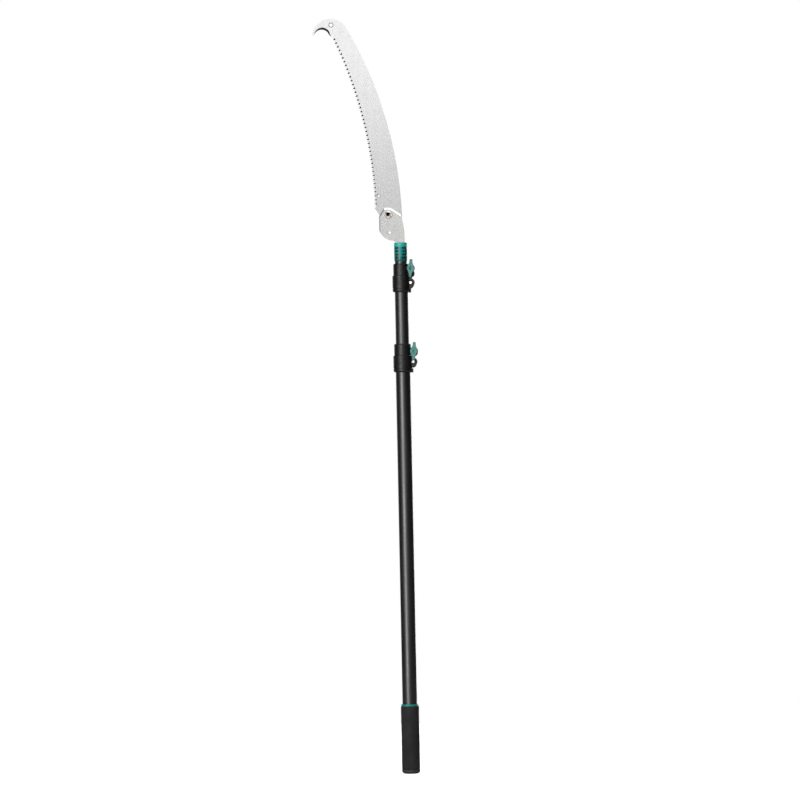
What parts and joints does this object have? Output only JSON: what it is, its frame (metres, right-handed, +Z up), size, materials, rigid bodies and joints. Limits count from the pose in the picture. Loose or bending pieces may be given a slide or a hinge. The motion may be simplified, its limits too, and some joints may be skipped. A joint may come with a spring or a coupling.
{
  "type": "telescoping pole saw",
  "caption": "Hand pole saw: telescoping round tubes with wing knob clamps, a foam grip and a curved hooked blade that folds at a side plate pivot.",
  "frame": {"origin": "centre of the end cap's bottom face, on the pole's axis", "axes": "+Z up the pole, +X towards the clamp ears, away from the blade's teeth, -Y the face with the knobs and the pivot bolt's head"},
  "size_m": [0.218, 0.0477, 1.6562],
  "materials": {
    "pole_black": "semi-gloss black coating",
    "grip_foam": "matte closed-cell foam",
    "cap_rubber": "matte moulded rubber",
    "teal_plastic": "satin moulded plastic",
    "collar_plastic": "fine textured moulded plastic",
    "liner_plastic": "natural acetal",
    "zinc_steel": "zinc plated",
    "bolt_bright": "bright plated",
    "brass": "plain turned",
    "blade_steel": "satin ground spring steel",
    "plate_steel": "pressed sheet, brushed"
  },
  "bodies": {
    "handle": {"outer_tube": "pole_black", "grip_sleeve": "grip_foam", "grip_ring": "teal_plastic", "end_cap": "cap_rubber", "lower_collar": "collar_plastic", "lower_clamp_liner": "liner_plastic", "lower_collar_screw": "zinc_steel", "lower_collar_nut": "zinc_steel", "lower_clamp_bolt": "zinc_steel"},
    "lower_washer_body": {"lower_knob_washer": "zinc_steel"},
    "lower_knob_body": {"lower_knob": "teal_plastic", "lower_knob_insert": "brass"},
    "middle_guide": {"middle_guide_bush": "liner_plastic"},
    "middle_section": {"middle_tube": "pole_black", "upper_collar": "collar_plastic", "upper_clamp_liner": "liner_plastic", "upper_collar_screw": "zinc_steel", "upper_collar_nut": "zinc_steel", "upper_clamp_bolt": "zinc_steel"},
    "upper_washer_body": {"upper_knob_washer": "zinc_steel"},
    "upper_knob_body": {"upper_knob": "teal_plastic", "upper_knob_insert": "brass"},
    "inner_guide": {"inner_guide_bush": "liner_plastic"},
    "top_section": {"inner_tube": "pole_black", "head_socket": "teal_plastic", "tang_core": "liner_plastic", "socket_screws": "zinc_steel", "front_side_plate": "plate_steel", "rear_side_plate": "plate_steel", "tang_spacer": "plate_steel", "stop_rivet": "zinc_steel", "pivot_bolt": "bolt_bright", "pivot_bushing": "brass", "pivot_washers": "brass", "nut_washer": "zinc_steel", "pivot_nut": "zinc_steel"},
    "blade_body": {"blade": "blade_steel"}
  },
  "joints": [
    {"name": "middle_slide", "type": "slide", "parent": "handle", "child": "middle_guide", "axis": [0, 0, 1], "range_m": [-0.1115, 0.577]},
    {"name": "middle_turn", "type": "hinge", "parent": "middle_guide", "child": "middle_section", "pos_m": [0, 0, 0.2], "axis": [0, 0, 1], "continuous": true},
    {"name": "inner_slide", "type": "slide", "parent": "middle_section", "child": "inner_guide", "axis": [0, 0, 1], "range_m": [-0.005, 0.6]},
    {"name": "inner_turn", "type": "hinge", "parent": "inner_guide", "child": "top_section", "pos_m": [0, 0, 0.27], "axis": [0, 0, 1], "continuous": true},
    {"name": "blade_fold", "type": "hinge", "parent": "top_section", "child": "blade_body", "pos_m": [-0.0246, 0, 1.2241], "axis": [0, -1, 0], "range_deg": [0, 120]},
    {"name": "lower_knob_travel", "type": "slide", "parent": "handle", "child": "lower_washer_body", "axis": [0, -1, 0], "range_m": [0, 0.002]},
    {"name": "lower_knob_turn", "type": "hinge", "parent": "lower_washer_body", "child": "lower_knob_body", "pos_m": [0.0245, 0, 0.9244], "axis": [0, -1, 0], "range_deg": [0, 728]},
    {"name": "upper_knob_travel", "type": "slide", "parent": "middle_section", "child": "upper_washer_body", "axis": [0, -1, 0], "range_m": [0, 0.002]},
    {"name": "upper_knob_turn", "type": "hinge", "parent": "upper_washer_body", "child": "upper_knob_body", "pos_m": [0.021, 0, 1.1058], "axis": [0, -1, 0], "range_deg": [0, 728]}
  ],
  "couplings": [
    {"joint": "lower_knob_turn", "follows": "lower_knob_travel", "rad_per_m": 6283.2},
    {"joint": "upper_knob_turn", "follows": "upper_knob_travel", "rad_per_m": 6283.2}
  ]
}
